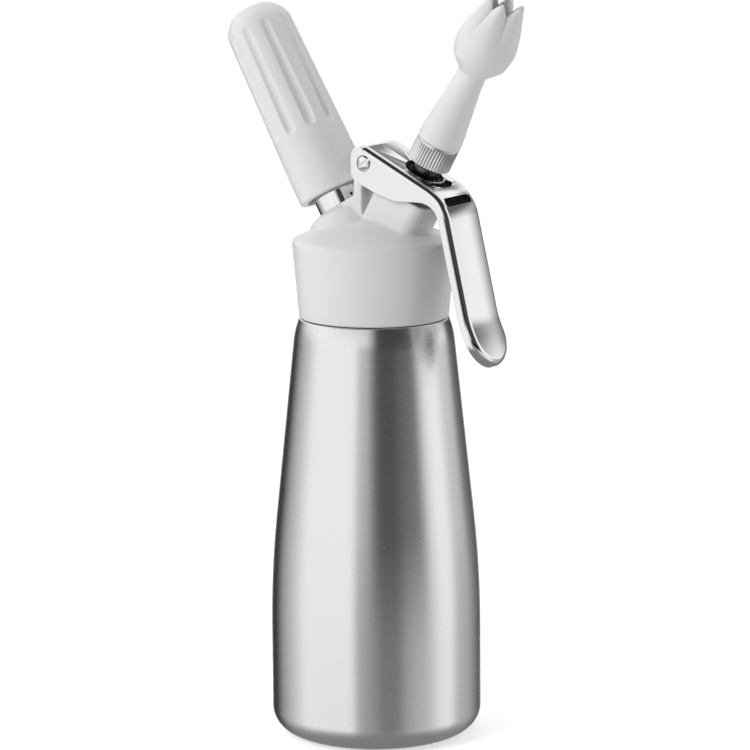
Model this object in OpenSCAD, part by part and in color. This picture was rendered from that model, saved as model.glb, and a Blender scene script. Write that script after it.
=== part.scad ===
// Whipped cream dispenser: aluminium bottle, screw-on head with a squeeze lever, a valve that
// carries a tulip decorating tip, and a holder that screws a gas charger onto its piercing pin.
// The origin is the centre of the bottle's base. +X points to the tip and the lever.

/* [Bottle] */
// Outer radius of the lower, upright part of the bottle
bottle_r = 40.7; // [38:0.1:43]
// Height of the shoulder, where the head closes the bottle
bottle_h = 163.3; // [155:0.1:172]
// Height at which the upright wall turns into the cone
waist_z = 64; // [50:1:80]
// Outer radius at the top of the cone
cone_top_r = 30.7; // [30:0.1:33]
// Depth of the rounded shoulder below the joint
shoulder_drop = 5.5; // [4:0.1:8]
// Outer radius of the shoulder at the joint
joint_r = 28.85; // [28.4:0.05:29.4]
// Radius of the corner between base and wall
base_corner_r = 10; // [6:0.5:14]
// Thickness of the bottle's wall
bottle_wall = 1.3; // [1:0.1:2]
// Thickness of the bottle's base
base_t = 2.4; // [1.6:0.1:4]
// Outer radius of the threaded neck
neck_r = 25.6; // [24.8:0.1:26]
// Thickness of the neck
neck_wall = 2.2; // [1.8:0.1:3]
// Height of the neck above the shoulder
neck_h = 15; // [13:0.5:17]

/* [Head] */
// Radius of the head at its widest, on top of the collar
collar_r = 31.4; // [30.6:0.1:33]
// Height of the collar
collar_h = 29.9; // [28:0.1:31]
// Radius that rounds the collar's upper edge
collar_edge_r = 2; // [1:0.1:3]
// Slope of the dome above the collar, in degrees
dome_slope = 23.5; // [18:0.5:28]
// Wall of the thread ring in the collar
thread_ring_t = 1.55; // [1.2:0.05:1.6]
// Thickness of the head gasket
gasket_t = 2.3; // [1.6:0.1:3]
// Height above the joint at which the tip's and the charger's axes cross
axes_cross_h = 15.4; // [14:0.1:16.5]
// Lean of the valve and tip, in degrees
valve_lean = 28.7; // [26:0.1:30]
// Lean of the charger, in degrees
charger_lean = 28.7; // [26:0.1:30]
// Half of the thickness of the centre block
block_half = 10.5; // [9.6:0.1:10.6]
// Half of the width of the valve tower
tower_half = 10.6; // [10:0.1:11.5]
// Radius of the tower's outer corners
tower_corner_r = 5; // [3:0.5:7]
// Height of the tower along the valve's axis
tower_top = 38.1; // [37:0.1:38.6]
// Radius of the charger boss
boss_r = 14.6; // [13:0.1:17]
// Top of the charger boss along the charger's axis
boss_top = 29.5; // [28:0.5:31]
// Left face of the post that carries the lever
post_x = -2.4; // [-3:0.1:-2]
// Thickness of the post
post_t = 3.55; // [3:0.05:4.5]

/* [Lever] */
// Distance of the lever's pivot from the bottle's axis
pivot_x = 3.4; // [2.5:0.1:4.5]
// Height of the pivot above the joint
pivot_h = 60.5; // [59.5:0.1:61.5]
// Outer width of the lever
lever_w = 25; // [24.6:0.1:27]
// Thickness of the lever's sheet
lever_t = 1.4; // [1:0.1:1.4]
// Radius of the lever's long outer edges
lever_edge_r = 2.6; // [2:0.1:3.2]
// Depth of the rim round the finger part
rim_d = 4.2; // [3.4:0.1:4.8]
// Height of the web's top above the pivot
web_over_pivot = 5.95; // [5.8:0.05:6.4]
// Slope of the web, in degrees below level
web_slope = 27.3; // [26:0.1:28.5]
// Reach of the ear behind the pivot
ear_back = 5.7; // [5.2:0.1:6.5]
// Radius of the bend over the ear
ear_bend_r = 4.6; // [4:0.1:5]
// Length of the web's straight run
web_len = 29.7; // [28:0.1:31]
// Radius of the knee
knee_r = 19; // [17:0.5:22]
// Slope of the finger part, in degrees below level
finger_slope = 77.2; // [74:0.2:80]
// Length of the finger part's straight run
finger_len = 36.4; // [30:0.2:39]
// Radius of the outward flare above the tip
flare_r = 25; // [18:1:60]
// Turn of the flare, in degrees
flare_turn = 11; // [6:1:16]
// Length of the straight run below the flare
flare_len = 3; // [1:0.5:6]
// Height above the joint of the side plates' lower edge
apron_h = 47.2; // [46:0.1:49]
// Radius of the bearing hole in each side plate
pivot_bore_r = 3.1; // [2.8:0.05:3.3]
// Radius of the web's hole round the valve
web_hole_r = 6.7; // [6.4:0.1:7]
// Width of the slot across the knee
knee_slot_w = 3.6; // [3:0.1:5]
// Length of the slot across the knee
knee_slot_l = 18.6; // [14:0.1:19]

/* [Valve] */
// Outer radius of the valve housing
housing_r = 8.3; // [8:0.1:8.6]
// Bore of the valve housing
housing_bore_r = 6.9; // [6.7:0.05:7]
// Radius of the valve stem
stem_r = 4; // [3.6:0.1:4.1]
// Radius of the stem's cream passage
passage_r = 2.4; // [1.8:0.1:2.6]
// Radius of the stem's neck inside the lever
stem_neck_r = 5; // [4.6:0.1:5.2]
// Radius of the stem's threaded end
stem_thread_r = 5.52; // [5.3:0.02:5.7]
// Radius of the shoulder that the lever presses on
shoulder_r = 8.4; // [7.9:0.1:8.6]
// Thickness of that shoulder
shoulder_t = 2; // [1.6:0.1:2.2]
// Diameter of the spring's wire
spring_wire = 1.2; // [0.9:0.05:1.3]
// Number of the spring's curls
spring_curls = 10; // [7:1:12]

/* [Decorating tip] */
// Outer radius of the knurled ring
ring_r = 8.4; // [8:0.1:8.6]
// Length of the knurled ring
ring_len = 10.1; // [9:0.1:10.6]
// Number of grooves round the ring
ring_grooves = 44; // [30:1:56]
// Radius of the tip where it leaves the ring
tip_r = 8.5; // [8.2:0.1:8.8]
// Length of the tip's tapered body
tip_body_len = 30.3; // [27:0.1:34]
// Radius of the neck below the tulip
tip_neck_r = 5.5; // [5:0.1:6.2]
// Largest radius of the tulip
tulip_r = 11.7; // [10.5:0.1:13]
// Length of the tulip
tulip_len = 31; // [28:0.2:34]
// Radius of the circle through the tines' points
crown_r = 7.2; // [6:0.1:8]
// Number of tines
tines = 6; // [5:1:8]
// Depth of the notches between the tines
notch_d = 5; // [4:0.1:8]
// Turn of the tines from the tip's right side, in degrees
tine_turn = -12; // [-30:0.5:30]
// Wall of the tulip
tulip_wall = 1.6; // [1.2:0.1:2]

/* [Charger and holder] */
// Radius of the chrome charger stub
stub_r = 8.85; // [8.6:0.05:9]
// Length of the stub above the boss
stub_len = 19.5; // [18:0.5:21]
// Stub left bare between boss and holder
stub_show = 6.3; // [5:0.1:7]
// Radius of the gas charger
charger_r = 8.9; // [8.6:0.05:9]
// Length of the gas charger
charger_len = 65.5; // [63:0.5:67]
// Radius of the charger's neck
charger_neck_r = 4.3; // [4:0.1:4.4]
// Outer radius of the holder at its rim
holder_rim_r = 14.25; // [13.6:0.05:15]
// Outer radius of the holder below its rounded top
holder_top_r = 12.9; // [12.4:0.05:13.6]
// Length of the holder
holder_len = 79.6; // [78:0.1:82]
// Radius that rounds the holder's top
holder_round_r = 6.5; // [4:0.5:8]
// Number of flutes round the holder
flutes = 10; // [6:1:12]
// Radius of a flute
flute_r = 2.4; // [1.8:0.1:3]
// Depth of a flute
flute_d = 1.1; // [0.6:0.1:1.4]
// Turn of the flutes from the holder's right side, in degrees
flute_turn = -9.5; // [-18:0.5:18]
// Length of a flute
flute_len = 46; // [40:1:52]
// Distance of the flutes from the holder's top
flute_from_top = 8; // [5:0.5:10]

/* [Fits] */
// Radial clearance of a running fit
running = 0.08; // [0.04:0.01:0.1]
// Gap between pieces that only pass each other
pass_gap = 0.3; // [0.2:0.05:0.4]
// Gap between faces that close on each other
seat_gap = 0.05; // [0.03:0.01:0.08]

/* [Hidden] */
$fn = 64;
far = 200;
eps = 0.01;

// Levels along Z
joint_z = bottle_h + pass_gap;
neck_top = bottle_h + neck_h;
ceiling_z = neck_top + gasket_t + 2 * seat_gap;
collar_top = joint_z + collar_h;
cross_z = joint_z + axes_cross_h;
ring_bore_r = neck_r + running;
collar_bore_r = ring_bore_r + thread_ring_t;

// Lever
pivot = [pivot_x, joint_z + pivot_h];
plate_in = lever_w / 2 - lever_t;
ear_left = pivot_x - ear_back;

function unit(v) = v / norm(v);
// Direction of a run that slopes h degrees below level, and the normal on its under side
function along(h) = [cos(h), -sin(h)];
function under(h) = [-sin(h), -cos(h)];

// The corner at b between a and c, rounded to radius r by n chords
function corner(a, b, c, r, n) =
    let (u = unit(a - b), v = unit(c - b), half = acos(u * v) / 2,
         centre = b + unit(u + v) * r / sin(half),
         p = b + u * r / tan(half) - centre, q = b + v * r / tan(half) - centre,
         start = atan2(p.y, p.x), turn = (atan2(q.y, q.x) - start + 540) % 360 - 180)
    [for (i = [0:n]) centre + r * [cos(start + turn * i / n), sin(start + turn * i / n)]];
function flat_point(p) = [p.x, p.y];
function is_straight(a, b, c) = abs(cross(unit(b - a), unit(c - b))) < 0.001;
// A path of [x, y] or [x, y, radius] points with its corners rounded
function rounded(path, n = 6) =
    [for (i = [0:len(path) - 1])
        let (p = path[i], b = flat_point(p), r = len(p) > 2 ? p[2] : 0)
        each r == 0 ? [b] : let (a = flat_point(path[i - 1]), c = flat_point(path[i + 1]))
            is_straight(a, b, c) ? [b] : corner(a, b, c, r, n)];

module revolve(points) {
    rotate_extrude($fn = 96) polygon(points);
}

module ring(outer_r, inner_r, h) {
    difference() {
        cylinder(h = h, r = outer_r);
        translate([0, 0, -1]) cylinder(h = h + 2, r = inner_r);
    }
}

// A shape in the XZ plane, extruded to both sides of it
module slab(points, half) {
    rotate([90, 0, 0]) linear_extrude(2 * half, center = true) polygon(points);
}

module on_valve_axis(s = 0) {
    translate([0, 0, cross_z]) rotate([0, valve_lean, 0]) translate([0, 0, s]) children();
}

module on_charger_axis(s = 0) {
    translate([0, 0, cross_z]) rotate([0, -charger_lean, 0]) translate([0, 0, s]) children();
}

// Bottle ------------------------------------------------------------------------------------

module bottle() {
    cone_top_z = bottle_h - shoulder_drop;
    neck_in = neck_r - neck_wall;
    outside = rounded([[0, 0], [bottle_r, 0, base_corner_r], [bottle_r, waist_z, 420],
        [cone_top_r, cone_top_z, 30], [joint_r, bottle_h, 0.6], [neck_r, bottle_h],
        [neck_r, neck_top, 0.6], [neck_in, neck_top]], 8);
    inside = rounded([[neck_in, neck_top], [neck_in, bottle_h + 1, 3],
        [cone_top_r - bottle_wall, cone_top_z - bottle_wall, 12],
        [bottle_r - bottle_wall, waist_z, 420],
        [bottle_r - bottle_wall, base_t, base_corner_r - bottle_wall], [0, base_t]], 8);
    color([0.78, 0.79, 0.8]) revolve(concat(outside, [for (i = [1:len(inside) - 1]) inside[i]]));
}

module head_gasket() {
    color([0.9, 0.9, 0.86]) translate([0, 0, neck_top + seat_gap])
        ring(collar_bore_r - pass_gap, neck_r - neck_wall, gasket_t);
}

// Head --------------------------------------------------------------------------------------

// Levels along the valve's axis, from the web's top where it crosses that axis
pivot_up = pivot_x * sin(valve_lean) + (pivot.y - cross_z) * cos(valve_lean);
pivot_aside = (pivot.y - cross_z) * sin(valve_lean) - pivot_x * cos(valve_lean);
web_lag = web_slope - valve_lean;
web_top = pivot_up + web_over_pivot / cos(web_lag) - pivot_aside * tan(web_lag);
housing_foot = 0.5;
seat_t = 5.5;
// The shoulder stays clear of the web, which is not quite square to the valve's axis
shoulder_top = web_top - lever_t - pass_gap - shoulder_r * abs(tan(web_lag));
ring_foot = shoulder_top + 5.4;
stem_top = ring_foot + 6.6;
// Levels along the charger's axis
holder_foot = boss_top + stub_show;
charger_foot = boss_top + 14.2;
gas_x = -11;
// Radius of the post's round top, which the web clears
pivot_boss_r = web_over_pivot - lever_t - pass_gap;

// A point of the tower in the XZ plane: t across the valve's axis, s along it
function tower_at(t, s) = [t * cos(valve_lean) + s * sin(valve_lean),
    cross_z - t * sin(valve_lean) + s * cos(valve_lean)];
tower_foot = 15;
tower_flat = tower_half - tower_corner_r;

module head_solid() {
    // Collar and dome
    dome_r = 8;
    dome_top = collar_top + (collar_r - dome_r) * tan(dome_slope);
    revolve(rounded([[0, joint_z], [joint_r, joint_z, 0.5], [collar_r, collar_top, collar_edge_r],
        [dome_r, dome_top], [0, dome_top]], 5));
    // Boss of the charger
    on_charger_axis() revolve(rounded([[0, 12], [boss_r + 3, 16], [boss_r, boss_top - 2, 4],
        [stub_r + 0.4, boss_top, 0.3], [0, boss_top]], 5));
    // Rounded side of the valve tower
    on_valve_axis(tower_foot) {
        h = tower_top - tower_foot;
        translate([0, tower_corner_r - block_half, 0])
            cube([tower_half, 2 * (block_half - tower_corner_r), h]);
        for (side = [-1, 1]) translate([tower_flat, side * (block_half - tower_corner_r), 0])
            cylinder(h = h, r = tower_corner_r);
    }
    // Block cut level with the boss, post of the lever and flat side of the tower, in one slab
    boss_edge = boss_top * [-sin(charger_lean), cos(charger_lean)] + [0, cross_z];
    slope = [cos(charger_lean), sin(charger_lean)];
    on_boss = boss_edge + 6.4 * slope;
    post_foot = boss_edge + slope * (post_x - boss_edge.x) / slope.x;
    post_right = post_x + post_t;
    gap_foot = tower_at(-tower_half,
        (post_right + tower_half * cos(valve_lean)) / sin(valve_lean));
    slab([[on_boss.x + 6, collar_top], on_boss, post_foot, [post_x, pivot.y - 7.5],
        [pivot.x - pivot_boss_r, pivot.y], [pivot.x + pivot_boss_r, pivot.y],
        [post_right, pivot.y - 9.5], gap_foot, tower_at(-tower_half, tower_top),
        tower_at(tower_flat, tower_top), tower_at(tower_flat, tower_foot)], block_half);
    // Rib in the gap between post and tower
    slab([[post_x + 1, gap_foot.y - 1], [post_x + 1, gap_foot.y + 10], [9, gap_foot.y + 10],
        [4, gap_foot.y - 1]], block_half - 6);
    translate([pivot.x, 0, pivot.y]) rotate([90, 0, 0])
        cylinder(h = 2 * block_half, r = pivot_boss_r, center = true);
}

module head_shell() {
    color([0.95, 0.95, 0.96]) difference() {
        head_solid();
        // Room for the bottle's neck
        translate([0, 0, joint_z - 1]) cylinder(h = ceiling_z - joint_z + 1, r = collar_bore_r, $fn = 96);
        // Bores of the valve housing, the stub and the gas passage
        on_valve_axis(-5) cylinder(h = 70, r = housing_r);
        on_charger_axis(boss_top - 8) cylinder(h = 30, r = stub_r - 1.6);
        on_charger_axis(boss_top - 10.5) cylinder(h = 10, r = 3);
        translate([gas_x, 0, ceiling_z - 1]) cylinder(h = 18, r = 1.5);
        translate([gas_x, 0, ceiling_z - 1]) cylinder(h = 6, r = 3.2);
        translate([pivot.x, 0, pivot.y]) rotate([90, 0, 0]) cylinder(h = far, r = 2, center = true);
    }
}

module thread_ring() {
    color([0.75, 0.76, 0.78]) translate([0, 0, joint_z + 1.2])
        ring(collar_bore_r, ring_bore_r, neck_top - joint_z - 1.4);
}

module valve_housing() {
    color([0.8, 0.8, 0.82]) on_valve_axis() difference() {
        translate([0, 0, housing_foot]) cylinder(h = tower_top - housing_foot, r = housing_r);
        translate([0, 0, housing_foot + seat_t]) cylinder(h = 60, r = housing_bore_r);
        translate([0, 0, -1]) cylinder(h = 20, r = stem_r + running);
        translate([0, 0, housing_foot + 2.4]) cylinder(h = 1.8, r = stem_r + 1.6);
    }
}

module stem_seal() {
    color([0.25, 0.25, 0.25]) on_valve_axis(housing_foot + 2.4)
        ring(stem_r + 1.6, stem_r + running, 1.8 - seat_gap);
}

module charger_stub() {
    color([0.82, 0.83, 0.85]) on_charger_axis() difference() {
        union() {
            translate([0, 0, boss_top - 8]) cylinder(h = 9, r = stub_r - 1.6);
            translate([0, 0, boss_top]) cylinder(h = stub_len, r = stub_r);
        }
        translate([0, 0, boss_top - 9]) cylinder(h = 60, r = 1.2);
        translate([0, 0, charger_foot - 3.2]) cylinder(h = 60, r = charger_neck_r + pass_gap);
        // Vent that lets the last gas out as the holder is unscrewed
        translate([0, 0, boss_top + 2.3]) rotate([0, 0, -20]) rotate([0, 90, 0])
            cylinder(h = 20, r = 0.6, $fn = 24);
    }
}

module piercing_pin() {
    color([0.7, 0.7, 0.72]) on_charger_axis(charger_foot - 3.2) difference() {
        union() {
            cylinder(h = 1.4, r = charger_neck_r + 0.2);
            cylinder(h = 4, r = 1.1);
            translate([0, 0, 4]) cylinder(h = 1.2, r1 = 1.1, r2 = 0.6);
        }
        translate([0, 0, -1]) cylinder(h = 8, r = 0.45);
    }
}

module piercing_seal() {
    color([0.3, 0.3, 0.3]) on_charger_axis(charger_foot - 1.8)
        ring(charger_neck_r + 0.2, 1.1, 1.8 - seat_gap);
}

module check_valve() {
    color([0.85, 0.3, 0.2]) translate([gas_x, 0, ceiling_z + 0.2]) difference() {
        union() {
            cylinder(h = 1.6, r = 3.15);
            cylinder(h = 4.6, r = 2.2);
        }
        translate([0, 0, -1]) cylinder(h = 5, r = 1);
    }
}

module pivot_screw() {
    color([0.8, 0.8, 0.82]) translate([pivot.x, 0, pivot.y]) rotate([90, 0, 0]) difference() {
        union() {
            translate([0, 0, block_half + seat_gap])
                cylinder(h = lever_w / 2 - block_half - seat_gap, r = pivot_bore_r - running);
            translate([0, 0, -block_half]) cylinder(h = 2 * block_half + 1, r = 1.95);
        }
        translate([0, 0, lever_w / 2 + 0.4]) rotate([0, 0, -52]) cube([0.9, 12, 1.6], center = true);
    }
}

module pivot_nut() {
    color([0.8, 0.8, 0.82]) translate([pivot.x, 0, pivot.y]) rotate([-90, 0, 0])
        translate([0, 0, block_half + seat_gap])
            cylinder(h = lever_w / 2 - block_half - seat_gap, r = pivot_bore_r - running);
}

// Lever -------------------------------------------------------------------------------------

// The web's outer line in the XZ plane. Each run is [length, radius, turn]; a bend has length 0,
// and a negative turn bends outwards.
lever_runs = [[0, ear_bend_r, 90 + web_slope], [web_len, 0, 0],
    [0, knee_r, finger_slope - web_slope], [finger_len, 0, 0], [0, flare_r, -flare_turn],
    [flare_len, 0, 0]];
// Where the web starts, at the back of the ear, heading straight up
bend_x = ear_left + ear_bend_r;
bend_z = (pivot * -under(web_slope) + web_over_pivot - ear_bend_r - bend_x * sin(web_slope))
    / cos(web_slope);

function run_end(p, run) =
    let (at = [p[0], p[1]], h = p[2], turn = run[2], side = sign(turn),
         centre = at + side * run[1] * under(h), there = h + turn)
    turn == 0 ? [at.x + run[0] * cos(h), at.y - run[0] * sin(h), h]
        : [each centre - side * run[1] * under(there), there];
lever_poses = [for (i = 0, p = [ear_left, bend_z, -90]; i <= len(lever_runs);
    p = i < len(lever_runs) ? run_end(p, lever_runs[i]) : p, i = i + 1) p];

// Half of the channel's section: web on top, one rounded edge and the rim below it
function half_section(d) = let (w = lever_w / 2, t = lever_t, r = lever_edge_r)
    rounded([[0, 0], [w, 0, r], [w, -d], [w - t, -d], [w - t, -t, r - t], [0, -t]], 5);
// The stations of the sweep: the start of each straight run, a few in each bend, and the end
lever_stations = [for (i = [0:len(lever_runs) - 1])
    let (run = lever_runs[i], n = run[2] == 0 ? 1 : ceil(abs(run[2]) / 8))
    for (k = [0:n - 1]) [each run_end(lever_poses[i], [0, run[1], run[2] * k / n]),
        i == 0 ? min(rim_d, ear_bend_r - 0.8) : rim_d],
    [each lever_poses[len(lever_runs)], rim_d]];
// A point of the section, at width y and height z over the web's top, at a station
function at_station(station, y, z) = let (q = [station[0], station[1]] - z * under(station[2]))
    [q.x, y, q.y];

// Sweep of the section, closed by half a turn of it round the finger part's end
module lever_channel() {
    m = len(half_section(rim_d)) - 1;
    n = 2 * m;
    count = len(lever_stations);
    last = (count - 1) * n;
    turns = 18;
    end = lever_stations[count - 1];
    tip = half_section(end[3]);
    rings = [for (st = lever_stations) let (half = half_section(st[3]))
        for (k = [0:n - 1]) let (p = half[k <= m ? k : n - k])
            at_station(st, k <= m ? p.x : -p.x, p.y)];
    cap = [for (i = [1:turns - 1]) let (a = i * 180 / turns)
        for (k = [1:m - 1]) let (q = [end[0], end[1]] + tip[k].x * sin(a) * along(end[2]))
            at_station([q.x, q.y, end[2]], tip[k].x * cos(a), tip[k].y)];
    // Index of point k of the half section after i steps of the turn
    function tip_at(i, k) = k == 0 || k == m || i == 0 ? last + k
        : i == turns ? last + n - k : count * n + (i - 1) * (m - 1) + k - 1;
    faces = [
        for (j = [0:count - 2], k = [0:n - 1]) let (a = j * n + k, b = j * n + (k + 1) % n)
            each [[a, b, b + n], [a, b + n, a + n]],
        for (k = [0:m / 2 - 1], side = [0, 1])
            let (q = side == 0 ? [k, m - k, m - k - 1, k + 1]
                : [(n - k) % n, n - k - 1, m + k + 1, m + k])
            each [[q[0], q[1], q[2]], [q[0], q[2], q[3]]],
        for (i = [0:turns - 1]) each [[last, tip_at(i, 1), tip_at(i + 1, 1)],
            [last + m, tip_at(i + 1, m - 1), tip_at(i, m - 1)]],
        for (i = [0:turns - 1], k = [1:m - 2])
            each [[tip_at(i, k), tip_at(i, k + 1), tip_at(i + 1, k + 1)],
                [tip_at(i, k), tip_at(i + 1, k + 1), tip_at(i + 1, k)]]];
    polyhedron(concat(rings, cap), faces);
}

// The corner at p between runs of slope g and h, moved d to the under side of both
function inset(p, g, h, d) = p + d * (under(g) + under(h)) / (1 + under(g) * under(h));

module side_plate() {
    g = web_slope;
    h = finger_slope;
    knee = [lever_poses[2][0], lever_poses[2][1]] + knee_r * tan((h - g) / 2) * along(g);
    d = lever_edge_r;
    // The ear's flat outline, which draws in under the rounded edge as it reaches the web
    ear = [for (a = [0:13:117]) [bend_x, bend_z]
        + (ear_bend_r - d * pow(max(0, a - 50) / 67, 2)) * [-cos(a), sin(a)]];
    apron_z = joint_z + apron_h;
    rim_line = inset(knee, g, h, rim_d);
    finger_end = knee + 30 * along(h);
    apron_end = rim_line + (apron_z - rim_line.y) / -sin(h) * along(h);
    rotate([90, 0, 0]) linear_extrude(lever_t) polygon(rounded([
        each ear, [each inset(knee, g, h, d), knee_r - d],
        finger_end + d * under(h), finger_end + rim_d * under(h),
        [apron_end.x, apron_z, 9],
        [pivot_x + 13.2, apron_z - 0.2, 12], [pivot_x + 5, apron_z + 2.4, 12],
        [ear_left, pivot.y - 6.1, 5], [ear_left, bend_z - 1]], 6));
}

module lever() {
    color([0.86, 0.87, 0.89]) difference() {
        union() {
            lever_channel();
            // Raised rim of the web's hole
            on_valve_axis(web_top - 0.5) cylinder(h = 1.1, r = web_hole_r + 1.5);
            for (side = [0, 1]) translate([0, side * (lever_w - lever_t) - lever_w / 2 + lever_t, 0])
                side_plate();
        }
        // Bearing holes
        translate([pivot.x, 0, pivot.y]) rotate([90, 0, 0])
            cylinder(h = far, r = pivot_bore_r, center = true);
        // Hole round the valve, and the kidney slot beyond it
        on_valve_axis(shoulder_top - 1) cylinder(h = 8, r = web_hole_r);
        on_valve_axis(shoulder_top - 1) {
            rotate([0, 0, -30]) rotate_extrude(angle = 60)
                translate([web_hole_r + 1.8, 0]) square([3, 8]);
            for (a = [-30, 30]) rotate([0, 0, a]) translate([web_hole_r + 3.3, 0, 0])
                cylinder(h = 8, r = 1.5);
        }
        // Slot across the knee
        slot_turn = web_slope + 27;
        knee_centre = [lever_poses[2][0], lever_poses[2][1]] + knee_r * under(web_slope);
        translate([knee_centre.x, 0, knee_centre.y]) rotate([0, slot_turn, 0])
            translate([0, 0, knee_r - 4]) {
                translate([-knee_slot_w / 2, -knee_slot_l / 2 + 1.5, 0])
                    cube([knee_slot_w, knee_slot_l - 3, 8]);
                translate([-knee_slot_w / 2 + 1.5, -knee_slot_l / 2, 0])
                    cube([knee_slot_w - 3, knee_slot_l, 8]);
                for (x = [-1, 1], y = [-1, 1])
                    translate([x * (knee_slot_w / 2 - 1.5), y * (knee_slot_l / 2 - 1.5), 0])
                        cylinder(h = 8, r = 1.5);
            }
    }
}

// Valve -------------------------------------------------------------------------------------

module valve_stem() {
    color([0.8, 0.81, 0.83]) on_valve_axis() difference() {
        union() {
            translate([0, 0, -4.2]) cylinder(h = 2.7, r = stem_r + 2);
            translate([0, 0, -2]) cylinder(h = shoulder_top + 2, r = stem_r);
            translate([0, 0, shoulder_top]) cylinder(h = ring_foot - shoulder_top + 0.6, r = stem_neck_r);
            translate([0, 0, ring_foot]) cylinder(h = stem_top - ring_foot, r = stem_thread_r);
        }
        translate([0, 0, 1.4]) cylinder(h = far, r = passage_r);
        translate([0, 0, 1.5]) rotate([0, 90, 0]) cylinder(h = 20, r = 1, center = true);
    }
}

module valve_gasket() {
    color([0.25, 0.25, 0.25]) on_valve_axis(-1.5)
        ring(stem_r + 2.4, stem_r, housing_foot + 1.5 - seat_gap);
}

module spring_cup() {
    color([0.78, 0.78, 0.8]) on_valve_axis() {
        translate([0, 0, shoulder_top - shoulder_t]) ring(shoulder_r, stem_r, shoulder_t);
        translate([0, 0, shoulder_top - shoulder_t - 10])
            ring(housing_bore_r - running, housing_bore_r - running - 0.75, 10 + eps);
    }
}

// Spring: rings of 6 points along a helix with closed ends
spring_r = housing_bore_r - running - 0.75 - pass_gap - spring_wire / 2;
spring_lo = housing_foot + seat_t + spring_wire / 2 + 0.1;
spring_hi = shoulder_top - shoulder_t - spring_wire / 2 - 0.1;
spring_steps = spring_curls * 8;
function spring_at(i) = let (a = i * 45)
    [spring_r * cos(a), spring_r * sin(a),
     spring_lo + (spring_hi - spring_lo) * i / spring_steps];
function spring_ring(i) =
    let (p = spring_at(i), along = unit(spring_at(i + 0.5) - spring_at(i - 0.5)),
         outward = unit([p.x, p.y, 0]), across = cross(along, outward))
    [for (k = [0:5]) p + spring_wire / 2 * (cos(k * 60) * outward + sin(k * 60) * across)];
// Least gap between a turn and the next
spring_gap = (spring_at(8).z - spring_at(0).z)
    * cos(atan2(spring_at(8).z - spring_at(0).z, 2 * PI * spring_r)) - spring_wire;

module tube(rings) {
    n = len(rings[0]);
    m = len(rings);
    points = [for (r = rings) each r];
    sides = [for (j = [0:m - 2], k = [0:n - 1])
        let (a = j * n + k, b = j * n + (k + 1) % n) each [[a, b, b + n], [a, b + n, a + n]]];
    ends = [for (k = [1:n - 2]) each [[0, k + 1, k],
        [(m - 1) * n, (m - 1) * n + k, (m - 1) * n + k + 1]]];
    polyhedron(points, concat(sides, ends));
}

module valve_spring() {
    echo(spring_gap = spring_gap);
    color([0.7, 0.7, 0.72]) on_valve_axis() tube([for (i = [0:spring_steps]) spring_ring(i)]);
}

// Decorating tip ----------------------------------------------------------------------------

washer_t = 1.2;
tip_foot = stem_top + washer_t + 2 * seat_gap;
ring_top = ring_foot + ring_len;
tip_neck = ring_top + tip_body_len;
crown = tip_neck + tulip_len;

module tip_washer() {
    color([0.3, 0.3, 0.3]) on_valve_axis(stem_top + seat_gap)
        ring(stem_thread_r - pass_gap, passage_r + 0.4, washer_t);
}

module knurled_ring() {
    groove_r = ring_r - 0.35;
    outline = [for (i = [0:ring_grooves - 1], k = [0, 0.5, 0.75])
        let (a = (i + k) * 360 / ring_grooves, r = k == 0.75 ? groove_r : ring_r)
        r * [cos(a), sin(a)]];
    color([0.72, 0.73, 0.75]) on_valve_axis() difference() {
        intersection() {
            translate([0, 0, ring_foot]) linear_extrude(ring_len) polygon(outline);
            revolve(rounded([[0, ring_foot], [ring_r + 0.2, ring_foot, 1.1],
                [ring_r + 0.2, ring_top - 0.3], [ring_r - 0.2, ring_top], [0, ring_top]], 4));
        }
        translate([0, 0, ring_foot - 1]) cylinder(h = 20, r = stem_thread_r + running);
        translate([0, 0, tip_foot]) cylinder(h = 20, r = ring_r - 1.4);
    }
}

module decorating_tip() {
    bore = passage_r + 1.6;
    belly = tip_neck + 12.4;
    w = tulip_wall;
    outside = rounded([[bore, tip_foot + seat_gap], [ring_r - 1.4, tip_foot + seat_gap],
        [ring_r - 1.4, ring_top + seat_gap], [tip_r, ring_top + seat_gap], [tip_r - 0.2, ring_top + 4, 14],
        [tip_neck_r + 0.25, tip_neck - 5, 30], [tip_neck_r, tip_neck, 1.8],
        [tulip_r - 1.3, tip_neck + 5.4, 5], [tulip_r + 0.4, belly, 16], [tulip_r - 1.4, belly + 9, 30],
        [crown_r, crown]], 6);
    inside = rounded([[crown_r - w * 0.7, crown], [tulip_r - 1.4 - w, belly + 8.8, 28],
        [tulip_r + 0.4 - w, belly, 15], [tulip_r - 1.3 - w, tip_neck + 7.1, 4],
        [tip_neck_r - 1.5, tip_neck + 2, 1.5],
        [tip_neck_r - 1.5, tip_neck - 6, 10], [bore, tip_foot + 12, 20], [bore, tip_foot + seat_gap]], 6);
    color([0.96, 0.96, 0.97]) on_valve_axis() difference() {
        revolve(concat(outside, [for (i = [0:len(inside) - 2]) inside[i]]));
        for (i = [0:tines - 1]) rotate([0, 0, tine_turn + (i + 0.5) * 360 / tines])
            translate([2, 0, crown - notch_d]) rotate([90, 0, 90]) linear_extrude(20)
                polygon([[0, 0], [crown_r * sin(180 / tines) * 0.9, notch_d + 1],
                    [-crown_r * sin(180 / tines) * 0.9, notch_d + 1]]);
    }
}

// Charger -----------------------------------------------------------------------------------

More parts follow.
